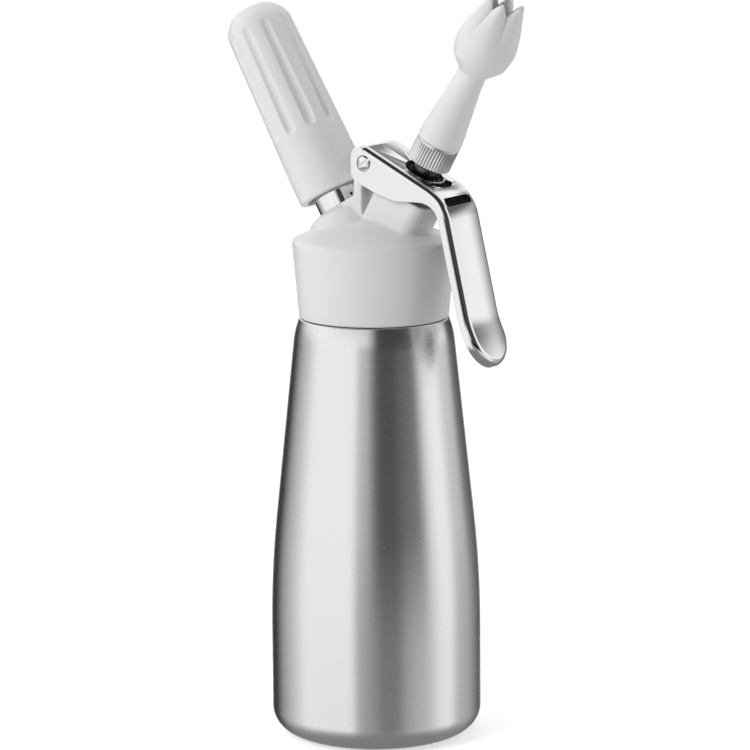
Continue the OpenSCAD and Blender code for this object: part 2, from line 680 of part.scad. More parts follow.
module gas_charger() {
    wall = 1.3;
    top = charger_len;
    outside = rounded([[1.5, 0], [charger_neck_r, 0, 0.5], [charger_neck_r, 8.5, 2],
        [charger_r, 15.5, 5], [charger_r, top, 7.5], [0, top]], 6);
    inside = rounded([[0, top - wall], [charger_r - wall, top - wall, 6.2],
        [charger_r - wall, 16, 4], [charger_neck_r - wall, 9.2, 2], [charger_neck_r - wall, 1.2],
        [1.5, 1.2]], 6);
    color([0.75, 0.76, 0.77]) on_charger_axis(charger_foot) revolve(concat(outside, inside));
}

module charger_holder() {
    foot = holder_foot;
    top = foot + holder_len;
    insert_top = foot + 11.5;
    bulb_top = charger_foot + charger_len;
    color([0.96, 0.96, 0.97]) on_charger_axis() difference() {
        revolve(rounded([[0, foot], [holder_rim_r, foot, 0.8], [holder_rim_r, foot + 12, 60],
            [holder_top_r, top - 7, holder_round_r + 2], [holder_top_r * 0.6, top - 1.2, 8],
            [0, top]], 6));
        translate([0, 0, foot - 1]) cylinder(h = bulb_top + pass_gap - foot + 1, r = charger_r + 0.45);
        translate([0, 0, foot + 1.3]) cylinder(h = insert_top - foot - 1.3, r = stub_r + 2.7);
        translate([0, 0, foot - 1]) cylinder(h = 3, r = stub_r + 1.2);
        for (i = [0:flutes - 1]) rotate([0, 0, flute_turn + i * 360 / flutes]) {
            low = top - flute_from_top - flute_len;
            x = holder_top_r + 0.55 + flute_r - flute_d;
            translate([x, 0, low + flute_r]) cylinder(h = flute_len - 2 * flute_r, r = flute_r, $fn = 32);
            translate([x, 0, low + flute_r]) sphere(r = flute_r, $fn = 32);
            translate([x, 0, low + flute_len - flute_r]) sphere(r = flute_r, $fn = 32);
        }
    }
}

module holder_insert() {
    color([0.8, 0.7, 0.45]) on_charger_axis(holder_foot + 1.3)
        ring(stub_r + 2.7, stub_r + running, 10.2);
}

bottle();
head_gasket();
head_shell();
thread_ring();
valve_housing();
stem_seal();
charger_stub();
piercing_pin();
piercing_seal();
check_valve();
pivot_screw();
pivot_nut();
lever();
valve_stem();
valve_gasket();
spring_cup();
valve_spring();
tip_washer();
knurled_ring();
decorating_tip();
gas_charger();
charger_holder();
holder_insert();
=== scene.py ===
"""Looks of the whipped cream dispenser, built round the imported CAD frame.

Lengths are in millimetres, as in the part's source, and every mesh is scaled to metres once.
"""
import math

import bmesh
import bpy
from mathutils import Matrix, Vector


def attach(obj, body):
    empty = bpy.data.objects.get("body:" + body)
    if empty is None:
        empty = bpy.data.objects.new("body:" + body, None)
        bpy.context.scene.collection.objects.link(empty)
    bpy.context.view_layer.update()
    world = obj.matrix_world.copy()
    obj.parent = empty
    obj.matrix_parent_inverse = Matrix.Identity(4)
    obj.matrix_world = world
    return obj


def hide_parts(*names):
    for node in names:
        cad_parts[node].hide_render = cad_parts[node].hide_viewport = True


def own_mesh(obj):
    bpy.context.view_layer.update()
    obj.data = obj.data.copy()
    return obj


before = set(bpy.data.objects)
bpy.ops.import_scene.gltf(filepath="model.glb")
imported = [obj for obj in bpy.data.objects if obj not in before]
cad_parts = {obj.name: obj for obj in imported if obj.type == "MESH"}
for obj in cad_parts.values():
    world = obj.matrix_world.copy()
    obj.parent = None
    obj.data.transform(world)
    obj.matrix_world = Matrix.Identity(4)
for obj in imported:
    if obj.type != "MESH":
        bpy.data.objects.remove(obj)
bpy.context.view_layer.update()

MM = 0.001
TAU = 2 * math.pi
rad = math.radians

# Sizes that the part's source and its record give, in millimetres. Bottle and gasket:
BOTTLE_R, BOTTLE_H, BOTTLE_WALL, BASE_T, BASE_CORNER_R = 40.7, 163.3, 1.3, 2.4, 10
WAIST_Z, WAIST_CURVE_R, CONE_TOP_R, SHOULDER_DROP, JOINT_R = 64, 420, 30.7, 5.5, 28.85
NECK_R, NECK_WALL, NECK_TOP, NECK_LEAD = 25.6, 2.2, 178.3, 3.0
GASKET_R, GASKET_T = 26.93, 2.3
# Head:
JOINT_Z, CROSS_Z, LEAN = 163.6, 179.0, rad(28.7)
BOSS_TOP, TOWER_TOP, BLOCK_HALF = 29.5, 38.1, 10.5
HOUSING_R, HOUSING_BORE_R = 8.3, 6.9
# Lever, with its pivot as (x, z):
PIVOT = (3.4, 224.1)
LEVER_W, SHEET, EDGE_R, RIM = 25.0, 1.4, 2.6, 4.2
WEB_SLOPE, WEB_LEN, WEB_OVER_PIVOT = rad(27.3), 29.7, 5.95
EAR_BACK, EAR_BEND_R, KNEE_R = 5.7, 4.6, 19.0
FINGER_SLOPE, FINGER_LEN = rad(77.2), 36.4
FLARE_R, FLARE_TURN, FLARE_LEN = 25.0, rad(11), 3.0
APRON_H, BEARING_R, WEB_HOLE_R = 47.2, 3.1, 6.7
KNEE_SLOT_W, KNEE_SLOT_L = 3.6, 18.6
# Valve, with its spring:
STEM_R, STEM_NECK_R, STEM_THREAD_R, PASSAGE_R = 4.0, 5.0, 5.52, 2.4
SHOULDER_R, SHOULDER_T = 8.4, 2
SPRING_WIRE, SPRING_CURLS = 1.2, 10
# Decorating tip:
RING_R, RING_LEN, RING_GROOVES = 8.4, 10.1, 44
TIP_R, TIP_BODY_LEN, TIP_NECK_R = 8.5, 30.3, 5.5
TULIP_LEN, CROWN_R, TINES, NOTCH_D, TINE_TURN = 31.0, 7.2, 6, 5.0, rad(-12)
TIP_LEAD = 1.25
# Charger and holder:
STUB_R, STUB_LEN, STUB_LEAD = 8.85, 19.5, 1.8
CHARGER_R, CHARGER_LEN, CHARGER_NECK_R = 8.9, 65.5, 4.3
HOLDER_LEN, HOLDER_RIM_R, HOLDER_TOP_R = 79.6, 14.25, 12.9
INSERT_R, INSERT_TOP = 11.55, 11.5
FLUTES, FLUTE_R, FLUTE_D, FLUTE_TURN = 10, 2.4, 1.1, rad(-9.5)
FLUTE_LEN, FLUTE_FROM_TOP = 46, 8
# Clearances:
SEAT_GAP, RUNNING = 0.05, 0.08

# Sizes of the looks alone
CROWNING = 0.7                  # of the finger part's face, across its width
SHADE_FILL_GAP = 0.04                  # round a black piece of painted shade in its slot
RIB_DEPTH = 0.42                # of the ring's ribs

VALVE = Matrix.Translation((0, 0, CROSS_Z)) @ Matrix.Rotation(LEAN, 4, "Y")
CHARGER = Matrix.Translation((0, 0, CROSS_Z)) @ Matrix.Rotation(-LEAN, 4, "Y")
UPRIGHT = Matrix.Identity(4)

# Levels along the valve's axis, from where it crosses the bottle's
HOUSING_FLOOR = 6.0
PIVOT_UP = PIVOT[0] * math.sin(LEAN) + (PIVOT[1] - CROSS_Z) * math.cos(LEAN)
PIVOT_ASIDE = (PIVOT[1] - CROSS_Z) * math.sin(LEAN) - PIVOT[0] * math.cos(LEAN)
WEB_LAG = WEB_SLOPE - LEAN
WEB_TOP = PIVOT_UP + WEB_OVER_PIVOT / math.cos(WEB_LAG) - PIVOT_ASIDE * math.tan(WEB_LAG)
SHOULDER_TOP = WEB_TOP - SHEET - 0.3 - SHOULDER_R * abs(math.tan(WEB_LAG))
RING_FOOT = SHOULDER_TOP + 5.4
STEM_TOP = RING_FOOT + 6.6
RING_TOP = RING_FOOT + RING_LEN
TIP_FOOT = STEM_TOP + 1.3
TIP_NECK = RING_TOP + TIP_BODY_LEN
CROWN = TIP_NECK + TULIP_LEN
# Levels along the charger's axis, from the same point
HOLDER_FOOT = BOSS_TOP + 6.3
CHARGER_FOOT = BOSS_TOP + 14.2


# Shapes ------------------------------------------------------------------------------------


def corner(a, b, c, r, n):
    """The corner at b between a and c, rounded to radius r by n chords."""
    u = (Vector(a) - Vector(b)).normalized()
    v = (Vector(c) - Vector(b)).normalized()
    if abs(u.cross(v)) < 1e-3:
        return [tuple(b)]
    half = u.angle(v) / 2
    centre = Vector(b) + (u + v).normalized() * (r / math.sin(half))
    p = Vector(b) + u * (r / math.tan(half)) - centre
    q = Vector(b) + v * (r / math.tan(half)) - centre
    start = math.atan2(p.y, p.x)
    turn = (math.atan2(q.y, q.x) - start + 3 * math.pi) % TAU - math.pi
    angles = [start + turn * i / n for i in range(n + 1)]
    return [(centre.x + r * math.cos(a), centre.y + r * math.sin(a)) for a in angles]


def rounded(path, n=12):
    """A path of (x, y) or (x, y, radius) points with its corners rounded."""
    out = []
    for i, p in enumerate(path):
        if len(p) == 3 and p[2] > 0:
            out += corner(path[i - 1][:2], p[:2], path[(i + 1) % len(path)][:2], p[2], n)
        else:
            out.append((p[0], p[1]))
    return out


def mesh_object(name, verts, faces, matrix=UPRIGHT):
    """An object from points in millimetres."""
    me = bpy.data.meshes.new(name)
    me.from_pydata([(matrix @ Vector(v)) * MM for v in verts], [], faces)
    me.update()
    o = bpy.data.objects.new(name, me)
    bpy.context.scene.collection.objects.link(o)
    return o


def loft(name, rings, matrix=UPRIGHT, loop=False):
    """A surface through rings of points.

    A ring of one point closes it there, and loop joins the last ring to the first.
    """
    verts, starts = [], []
    for r in rings:
        starts.append(len(verts))
        verts += r
    faces = []
    pairs = list(zip(range(len(rings) - 1), range(1, len(rings))))
    if loop:
        pairs.append((len(rings) - 1, 0))
    for a, b in pairs:
        na, nb = len(rings[a]), len(rings[b])
        n = max(na, nb)
        for k in range(n):
            quad = [
                starts[a] + k % na,
                starts[a] + (k + 1) % na,
                starts[b] + (k + 1) % nb,
                starts[b] + k % nb,
            ]
            faces.append(list(dict.fromkeys(quad)))
    return mesh_object(name, verts, faces, matrix)


def circle(r, n=64):
    """Points round a circle, as (x, y)."""
    return [(r * math.cos(TAU * k / n), r * math.sin(TAU * k / n)) for k in range(n)]


def flat_ring(r, z, n):
    """A circle's points at height z, as (x, y, z)."""
    return [(x, y, z) for x, y in circle(r, n)]


def lathe(name, profile, matrix=UPRIGHT, n=96):
    """A profile of (radius, height) points turned about Z, which is a loop unless it ends there."""
    rings = [[(0, 0, z)] if r < 1e-6 else flat_ring(r, z, n) for r, z in profile]
    return loft(name, rings, matrix, loop=profile[0][0] > 1e-6)


def prism(name, outline, low, high, matrix=UPRIGHT):
    """An outline in the XY plane, extruded from low to high along Z."""
    n = len(outline)
    verts = [(x, y, low) for x, y in outline] + [(x, y, high) for x, y in outline]
    faces = [list(range(n))[::-1], list(range(n, 2 * n))]
    faces += [[k, (k + 1) % n, n + (k + 1) % n, n + k] for k in range(n)]
    o = mesh_object(name, verts, faces, matrix)
    outward(o)
    return o


def middle(ring):
    """A ring of one point, in the middle of the given one."""
    return [tuple(sum(p[i] for p in ring) / len(ring) for i in range(3))]


def helix_ridge(name, r, height, width, pitch, low, high, matrix=UPRIGHT, steps=48):
    """A screw thread: a ridge wound onto radius r, which fades in at both ends."""
    turns = (high - low) / pitch
    count = int(turns * steps)
    rings = []
    for i in range(count + 1):
        a = TAU * turns * i / count
        z = low + (high - low) * i / count
        fade = min(1, 4 * i / steps, 4 * (count - i) / steps)
        h, w = height * fade, width * (0.3 + 0.7 * fade) / 2
        section = [(-0.15, -w), (h * 0.6, -w * 0.55), (h, -w * 0.22),
                   (h, w * 0.22), (h * 0.6, w * 0.55), (-0.15, w)]
        x, y = math.cos(a), math.sin(a)
        rings.append([((r + dr) * x, (r + dr) * y, z + dz) for dr, dz in section])
    return loft(name, [middle(rings[0])] + rings + [middle(rings[-1])], matrix)


def outward(o):
    """Turns every face outwards."""
    bm = bmesh.new()
    bm.from_mesh(o.data)
    bmesh.ops.recalc_face_normals(bm, faces=bm.faces)
    bm.to_mesh(o.data)
    bm.free()


def bake_modifiers(o):
    """Gives the object the mesh that its modifiers make."""
    graph = bpy.context.evaluated_depsgraph_get()
    made = bpy.data.meshes.new_from_object(o.evaluated_get(graph))
    o.modifiers.clear()
    o.data = made


def boolean(o, other, operation="DIFFERENCE"):
    """Takes the other object from this one, or adds it, and removes the other."""
    outward(o)
    outward(other)
    m = o.modifiers.new("boolean", "BOOLEAN")
    m.object, m.operation, m.solver = other, operation, "MANIFOLD"
    bake_modifiers(o)
    bpy.data.objects.remove(other)


def shade(o, angle=35):
    """Smooth shading, with the edges sharper than the angle kept sharp."""
    bm = bmesh.new()
    bm.from_mesh(o.data)
    bmesh.ops.recalc_face_normals(bm, faces=bm.faces)
    for f in bm.faces:
        f.smooth = True
    for e in bm.edges:
        e.smooth = len(e.link_faces) == 2 and e.calc_face_angle(0) < rad(angle)
    bm.to_mesh(o.data)
    bm.free()


# Materials ---------------------------------------------------------------------------------


def feed(tree, socket, value):
    """Links a socket's value in, or sets a plain one."""
    if isinstance(value, bpy.types.NodeSocket):
        tree.links.new(value, socket)
    else:
        socket.default_value = value


class Nodes:
    """A material's node tree, with its shader and object coordinates."""

    def __init__(self, name):
        self.material = bpy.data.materials.new(name)
        self.material.use_nodes = True
        self.tree = self.material.node_tree
        self.shader = self.tree.nodes["Principled BSDF"]
        self.coords = self.tree.nodes.new("ShaderNodeTexCoord").outputs["Object"]

    def add(self, kind, **inputs):
        n = self.tree.nodes.new(kind)
        for key, value in inputs.items():
            self.feed(n.inputs[key.replace("_", " ")], value)
        return n

    def feed(self, socket, value):
        feed(self.tree, socket, value)

    def noise(self, scale, stretch=(1, 1, 1), detail=3.0, seed=0.0):
        """Noise from about 0.35 to 0.65, finer where stretch is larger."""
        at = self.add("ShaderNodeMapping", Vector=self.coords)
        at.inputs["Scale"].default_value = stretch
        at.inputs["Location"].default_value = (seed, seed * 0.7, seed * 1.3)
        n = self.add("ShaderNodeTexNoise", Vector=at.outputs[0], Scale=scale, Detail=detail)
        return n.outputs[0]

    def span(self, value, low, high):
        """Brings a noise to between low and high."""
        n = self.add("ShaderNodeMapRange", Value=value)
        n.inputs["From Min"].default_value, n.inputs["From Max"].default_value = 0.35, 0.65
        n.inputs["To Min"].default_value, n.inputs["To Max"].default_value = low, high
        return n.outputs[0]

    def tint(self, value, color, spread):
        """The base colour, a little darker or lighter with the value."""
        n = self.tree.nodes.new("ShaderNodeMix")
        n.data_type = "RGBA"
        self.feed(n.inputs[0], value)
        n.inputs[6].default_value = (*[max(0, c - spread) for c in color], 1)
        n.inputs[7].default_value = (*[min(1, c + spread) for c in color], 1)
        self.feed(self.shader.inputs["Base Color"], n.outputs[2])

    def bump(self, height, strength, distance):
        n = self.add("ShaderNodeBump", Height=height, Strength=strength, Distance=distance)
        self.feed(self.shader.inputs["Normal"], n.outputs[0])


def plastic(name, color, roughness):
    """Moulded plastic: a faint drift of colour and gloss, and a very fine skin."""
    m = Nodes(name)
    m.tint(m.span(m.noise(55, detail=4), 0, 1), color, 0.006)
    gloss = m.span(m.noise(160, seed=3), roughness - 0.03, roughness + 0.04)
    m.feed(m.shader.inputs["Roughness"], gloss)
    m.bump(m.noise(2600, detail=2, seed=5), 0.05, 0.00008)
    m.shader.inputs["IOR"].default_value = 1.5
    m.shader.inputs["Subsurface Weight"].default_value = 0.25
    m.shader.inputs["Subsurface Radius"].default_value = (1, 1, 1)
    m.shader.inputs["Subsurface Scale"].default_value = 0.0015
    return m.material


def polished(name, color, low, high):
    """Polished plating: faint wipe marks in the gloss."""
    m = Nodes(name)
    m.shader.inputs["Metallic"].default_value = 1
    m.tint(m.span(m.noise(40, detail=5), 0, 1), color, 0.008)
    m.feed(m.shader.inputs["Roughness"], m.span(m.noise(90, (1, 3, 1), 5, 2), low, high))
    return m.material


def turned(name, color, roughness, stretch=(60, 60, 5200), depth=0.00002, spread=0.02):
    """Turned or brushed metal: fine lines round the axis."""
    m = Nodes(name)
    m.shader.inputs["Metallic"].default_value = 1
    lines = m.noise(1, stretch, 3)
    m.tint(m.span(lines, 0, 1), color, spread)
    m.feed(m.shader.inputs["Roughness"], m.span(lines, roughness - 0.04, roughness + 0.05))
    m.bump(lines, 0.25, depth)
    return m.material


def rubber(name, color):
    """Rubber or silicone: matte, with a fine grain."""
    m = Nodes(name)
    m.tint(m.span(m.noise(300, detail=4), 0, 1), color, 0.01)
    m.feed(m.shader.inputs["Roughness"], m.span(m.noise(900, seed=1), 0.6, 0.78))
    m.bump(m.noise(3500, detail=2), 0.2, 0.00006)
    return m.material


def brushed_aluminium():
    """Fine lines round the body stretch the reflections lengthwise."""
    m = Nodes("brushed_aluminium")
    m.shader.inputs["Metallic"].default_value = 1
    fine = m.noise(1, (55, 55, 9000), 3)
    m.tint(m.span(fine, 0, 1), (0.87, 0.87, 0.88), 0.006)
    m.feed(m.shader.inputs["Roughness"], m.span(fine, 0.265, 0.28))
    m.bump(fine, 0.015, 0.000004)
    m.shader.inputs["Anisotropic"].default_value = 0.75
    m.shader.inputs["Anisotropic Rotation"].default_value = 0.25
    tangent = m.tree.nodes.new("ShaderNodeTangent")
    tangent.direction_type, tangent.axis = "RADIAL", "Z"
    m.feed(m.shader.inputs["Tangent"], tangent.outputs[0])
    return m.material


ALUMINIUM = brushed_aluminium()
WHITE = plastic("white_plastic", (0.83, 0.83, 0.835), 0.33)
CHROME = polished("polished_chrome", (0.86, 0.865, 0.875), 0.05, 0.09)
NICKEL = turned("nickel_plate", (0.84, 0.84, 0.85), 0.3, (700, 700, 700), 0.00001, 0.015)
STEEL = turned("turned_steel", (0.62, 0.62, 0.64), 0.25)
# Steel darkened to nearly black as painted shade, for the stem and the spring cup, which lie in the
# shade under the ring
SHADED_STEEL = turned("steel_with_painted_shade", (0.16, 0.16, 0.17), 0.3)
ZINC = turned("zinc_plated_steel", (0.56, 0.57, 0.6), 0.3, (260, 260, 260), 0.00001, 0.03)
BRASS = turned("turned_brass", (0.72, 0.55, 0.26), 0.24)
SEAL = rubber("silicone_white", (0.78, 0.78, 0.74))
BLACK = rubber("black_rubber", (0.03, 0.03, 0.03))
RED = rubber("red_silicone", (0.45, 0.05, 0.035))
# Painted shade: a black smoother and blacker than the seals, with little gloss, for the shade
# inside the lever's slots and under the ring
PAINTED_SHADE_BLACK = rubber("painted_shade_black", (0.004, 0.004, 0.004))
PAINTED_SHADE_BLACK.node_tree.nodes["Principled BSDF"].inputs["Specular IOR Level"].default_value = 0.05
PAINTED_SHADE_BLACK.node_tree.nodes["Bump"].inputs["Strength"].default_value = 0.05


def piece(o, body, material, slot, *nodes, angle=35):
    """Finishes an object as a piece that rides a body and may stand for CAD nodes."""
    shade(o, angle)
    o.data.materials.clear()
    o.data.materials.append(material)
    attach(o, body)
    if nodes:
        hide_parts(*nodes)
    return o


# Bottle ------------------------------------------------------------------------------------


def make_bottle():
    """The bottle: a straight foot, a long cone, a rounded shoulder and a threaded neck."""
    bore_r, shoulder_z = NECK_R - NECK_WALL, BOTTLE_H - SHOULDER_DROP
    inner_r, inner_corner_r = BOTTLE_R - BOTTLE_WALL, BASE_CORNER_R - BOTTLE_WALL
    outside = rounded([
        (0, 0), (BOTTLE_R, 0, BASE_CORNER_R), (BOTTLE_R, WAIST_Z, WAIST_CURVE_R),
        (CONE_TOP_R, shoulder_z, 30), (JOINT_R, BOTTLE_H, 0.6), (NECK_R, BOTTLE_H),
        (NECK_R, NECK_TOP, 0.6), (bore_r, NECK_TOP),
    ], 20)
    inside = rounded([
        (bore_r, NECK_TOP), (bore_r, BOTTLE_H + 1, 3),
        (CONE_TOP_R - BOTTLE_WALL, shoulder_z - BOTTLE_WALL, 12),
        (inner_r, WAIST_Z, WAIST_CURVE_R), (inner_r, BASE_T, inner_corner_r), (0, BASE_T),
    ], 16)
    body = lathe("bottle_body", outside + inside[1:], n=256)
    piece(body, "bottle", ALUMINIUM, "aluminium", "bottle")
    thread = helix_ridge("bottle_neck_thread", NECK_R, height=0.42, width=1.9, pitch=NECK_LEAD,
                         low=BOTTLE_H + 2.3, high=NECK_TOP - 1.5)
    piece(thread, "bottle", ALUMINIUM, "aluminium")


def make_gasket():
    """The flat seal on the neck. Its profile starts and ends on a side, to round all corners."""
    bore_r, low = NECK_R - NECK_WALL, NECK_TOP + SEAT_GAP
    high, soft = low + GASKET_T, 0.3
    profile = rounded([(bore_r, low + 1), (bore_r, low, soft), (GASKET_R, low, soft),
                       (GASKET_R, high, soft), (bore_r, high, soft), (bore_r, low + 1)], 5)[:-1]
    piece(lathe("head_gasket_ring", profile, n=128), "gasket", SEAL, "seal", "head_gasket")


# Head --------------------------------------------------------------------------------------


def make_head():
    """The head keeps its solid, whose edges and inner corners are softened as a moulding's are."""
    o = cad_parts["head_shell"]
    weld = o.modifiers.new("weld", "WELD")
    weld.merge_threshold = 1e-6
    remesh = o.modifiers.new("remesh", "REMESH")
    remesh.mode, remesh.voxel_size, remesh.use_smooth_shade = "VOXEL", 0.4 * MM, True
    smooth = o.modifiers.new("smooth", "SMOOTH")
    smooth.factor, smooth.iterations = 0.5, 7


def make_housing():
    """The tube that guides the valve, with a groove for the stem's seal."""
    guide_r, groove_r = STEM_R + RUNNING, 5.6
    profile = rounded([
        (guide_r, 1.5), (guide_r, 0.5, 0.2), (HOUSING_R, 0.5, 0.2), (HOUSING_R, TOWER_TOP, 0.35),
        (HOUSING_BORE_R, TOWER_TOP, 0.35), (HOUSING_BORE_R, HOUSING_FLOOR),
        (guide_r, HOUSING_FLOOR), (guide_r, 4.7), (groove_r, 4.7), (groove_r, 2.9), (guide_r, 2.9),
    ], 6)
    piece(lathe("valve_housing_tube", profile, VALVE), "head", STEEL, "nickel", "valve_housing")


def make_stub():
    """The stub that the holder screws on, with a bore for the pin and a vent across."""
    bore_r, cup_r, root_r = 1.2, 4.6, 7.25
    root, cup_floor, top = BOSS_TOP - 8, BOSS_TOP + 11, BOSS_TOP + STUB_LEN
    profile = rounded([
        (bore_r, root), (root_r, root), (root_r, BOSS_TOP), (STUB_R, BOSS_TOP, 0.15),
        (STUB_R, top, 0.7), (cup_r, top, 0.4), (cup_r, cup_floor), (bore_r, cup_floor),
    ], 8)
    o = lathe("charger_stub_tube", profile, CHARGER, n=160)
    vent = Matrix.Translation((0, 0, BOSS_TOP + 2.3)) @ Matrix.Rotation(rad(-20), 4, "Z")
    vent = CHARGER @ vent @ Matrix.Rotation(rad(90), 4, "Y")
    boolean(o, prism("vent", circle(0.6, 32), 3, 12, vent))
    piece(o, "head", CHROME, "chrome", "charger_stub")
    thread = helix_ridge("charger_stub_thread", STUB_R, height=0.35, width=1.15, pitch=STUB_LEAD,
                         low=BOSS_TOP + 7.9, high=BOSS_TOP + 18.5, matrix=CHARGER)
    piece(thread, "head", CHROME, "chrome")


def make_pivot():
    """The screw's slotted head on the near side, and the plain round end on the far side."""
    out, face = BLOCK_HALF + SEAT_GAP, LEVER_W / 2
    head_r, shank_r = BEARING_R - RUNNING, 1.95
    head = rounded([(0, out), (head_r, out), (head_r, face - 0.35, 0.4), (2.4, face + 0.12, 1.6),
                    (1.3, face + 0.52, 2.6), (0, face + 0.62)], 10)
    shank = [(0, -BLOCK_HALF), (shank_r, -BLOCK_HALF), (shank_r, out)]
    centre = Matrix.Translation((PIVOT[0], 0, PIVOT[1]))
    near = centre @ Matrix.Rotation(rad(90), 4, "X")
    far = centre @ Matrix.Rotation(rad(-90), 4, "X")
    screw = lathe("pivot_screw_head", shank + head[1:], near)
    half, reach = 0.48, 6
    slot = [(-half, -reach), (half, -reach), (half, reach), (-half, reach)]
    turned_slot = near @ Matrix.Rotation(rad(-52), 4, "Z")
    boolean(screw, prism("slot", slot, face - 0.5, face + 1, turned_slot))
    piece(screw, "head", CHROME, "chrome", "pivot_screw", angle=28)
    piece(lathe("pivot_nut_cap", head, far), "head", CHROME, "chrome", "pivot_nut", angle=28)


# Lever -------------------------------------------------------------------------------------


def along(h):
    """The direction that falls at the slope h."""
    return Vector((math.cos(h), -math.sin(h)))


def under(h):
    """The direction square to the slope h, towards its under side."""
    return Vector((-math.sin(h), -math.cos(h)))


EAR_LEFT = PIVOT[0] - EAR_BACK
BEND_X = EAR_LEFT + EAR_BEND_R
BEND_Z = (-(Vector(PIVOT) @ under(WEB_SLOPE)) + WEB_OVER_PIVOT - EAR_BEND_R
          - BEND_X * math.sin(WEB_SLOPE)) / math.cos(WEB_SLOPE)
# The outline from the ears to the finger end. Each run is length, radius, turn
LEVER_RUNS = [
    (0, EAR_BEND_R, rad(90) + WEB_SLOPE),
    (WEB_LEN, 0, 0),
    (0, KNEE_R, FINGER_SLOPE - WEB_SLOPE),
    (FINGER_LEN, 0, 0),
    (0, FLARE_R, -FLARE_TURN),
    (FLARE_LEN, 0, 0),
]


def run_end(p, run):
    """Where a run ends that starts at p, both as x, z and slope."""
    x, z, h = p
    length, radius, turn = run
    if turn == 0:
        return (x + length * math.cos(h), z - length * math.sin(h), h)
    side = math.copysign(1, turn)
    centre = Vector((x, z)) + under(h) * side * radius
    end = centre - under(h + turn) * side * radius
    return (end.x, end.y, h + turn)


def lever_poses():
    """Where each run starts, and where the last one ends."""
    poses = [(EAR_LEFT, BEND_Z, rad(-90))]
    for run in LEVER_RUNS:
        poses.append(run_end(poses[-1], run))
    return poses


POSES = lever_poses()


def half_section(d):
    """Half the channel's section as (across, up), from the middle out, with rims of depth d."""
    w, t, r = LEVER_W / 2, SHEET, EDGE_R
    return rounded([(0, 0), (w, 0, r), (w, -d, 0.25), (w - t, -d, 0.25), (w - t, -t, r - t),
                    (0, -t)], 10)


def at_station(station, y, z):
    """The point across by y and up by z from a station."""
    q = Vector(station[:2]) - under(station[2]) * z
    return (q.x, y, q.y)


def lever_channel():
    """The web with its rounded long edges and rims, closed by half a turn round the finger end."""
    def crowned(half, crowning):
        return [(y, z + crowning * (0.35 - (y / LEVER_W * 2) ** 2)) for y, z in half]

    stations = []
    for i, run in enumerate(LEVER_RUNS):
        steps = 1 if run[2] == 0 else math.ceil(abs(run[2]) / rad(3))
        for k in range(steps):
            p = POSES[i] if k == 0 else run_end(POSES[i], (0, run[1], run[2] * k / steps))
            # The face rises across the knee, and the rims are shallower in the ears' tight bend
            crowning = CROWNING * (0 if i < 2 else k / steps if i == 2 else 1)
            rim = min(RIM, EAR_BEND_R - 0.8) if i == 0 else RIM
            stations.append((*p, rim, crowning))
    end = (*POSES[-1], RIM, CROWNING)
    stations.append(end)
    m = len(half_section(RIM)) - 1
    n = 2 * m
    verts = []
    for st in stations:
        half = crowned(half_section(st[3]), st[4])
        for k in range(n):
            y, z = half[k] if k <= m else (-half[n - k][0], half[n - k][1])
            verts.append(at_station(st, y, z))
    faces = [list(range(n))]
    for j in range(len(stations) - 1):
        for k in range(n):
            a, b = j * n + k, j * n + (k + 1) % n
            faces.append([a, b, b + n, a + n])
    last, count, turns = (len(stations) - 1) * n, len(stations) * n, 48
    tip = crowned(half_section(RIM), CROWNING)
    for i in range(1, turns):
        a = math.pi * i / turns
        for k in range(1, m):
            q = Vector(end[:2]) + along(end[2]) * tip[k][0] * math.sin(a)
            verts.append(at_station((q.x, q.y, end[2]), tip[k][0] * math.cos(a), tip[k][1]))

    def tip_at(i, k):
        if k in (0, m) or i == 0:
            return last + k
        return last + n - k if i == turns else count + (i - 1) * (m - 1) + k - 1

    for i in range(turns):
        for k in range(m):
            quad = [tip_at(i, k), tip_at(i, k + 1), tip_at(i + 1, k + 1), tip_at(i + 1, k)]
            faces.append(list(dict.fromkeys(quad)))
    return mesh_object("lever_plate", verts, faces)


def inset(p, g, h, d):
    """The corner at p between runs of slope g and h, moved d to the under side of both."""
    return Vector(p) + (under(g) + under(h)) * (d / (1 + under(g) @ under(h)))


def side_outline():
    """Outline of a side plate, as (x, z)."""
    g, h, d, reach = WEB_SLOPE, FINGER_SLOPE, EDGE_R, 30
    deep = d + CROWNING
    knee = Vector(POSES[2][:2]) + along(g) * (KNEE_R * math.tan((h - g) / 2))
    # The ear's flat outline, which draws in under the rounded edge as it reaches the web
    ear = []
    for k in range(27):
        a = 4.5 * k
        r = EAR_BEND_R - d * (max(0, a - 50) / 67) ** 2
        ear.append((BEND_X - r * math.cos(rad(a)), BEND_Z + r * math.sin(rad(a))))
    apron_z = JOINT_Z + APRON_H
    rim_line = inset(knee, g, h, RIM)
    finger_end = knee + along(h) * reach
    apron_end = rim_line + along(h) * ((apron_z - rim_line.y) / -math.sin(h))
    # Over the web, down the finger part as far as it reaches, back along the apron and up the
    # ear's back
    return rounded([
        *ear, (*inset(knee, g, h, deep), KNEE_R - deep),
        tuple(finger_end + under(h) * deep), tuple(finger_end + under(h) * RIM),
        (apron_end.x, apron_z, 9), (PIVOT[0] + 13.2, apron_z - 0.2, 12),
        (PIVOT[0] + 5, apron_z + 2.4, 12), (EAR_LEFT, PIVOT[1] - 6.1, 5), (EAR_LEFT, BEND_Z - 1),
    ], 12)[:-1]


def kidney(gap):
    """Outline of the slot beyond the web's hole, or of a piece that fills it up to a gap."""
    arc_r, half, r = WEB_HOLE_R + 3.3, rad(30), 1.5 - gap
    out = []
    for side in (1, -1):
        edge_r, end = arc_r + side * r, half * side
        for k in range(33):
            a = half * (k / 16 - 1)
            out.append((edge_r * math.cos(a), edge_r * math.sin(a) * side))
        for b in range(15, 180, 15):
            a = end + rad(b)
            out.append((arc_r * math.cos(end) + side * r * math.cos(a),
                        arc_r * math.sin(end) + side * r * math.sin(a)))
    return out


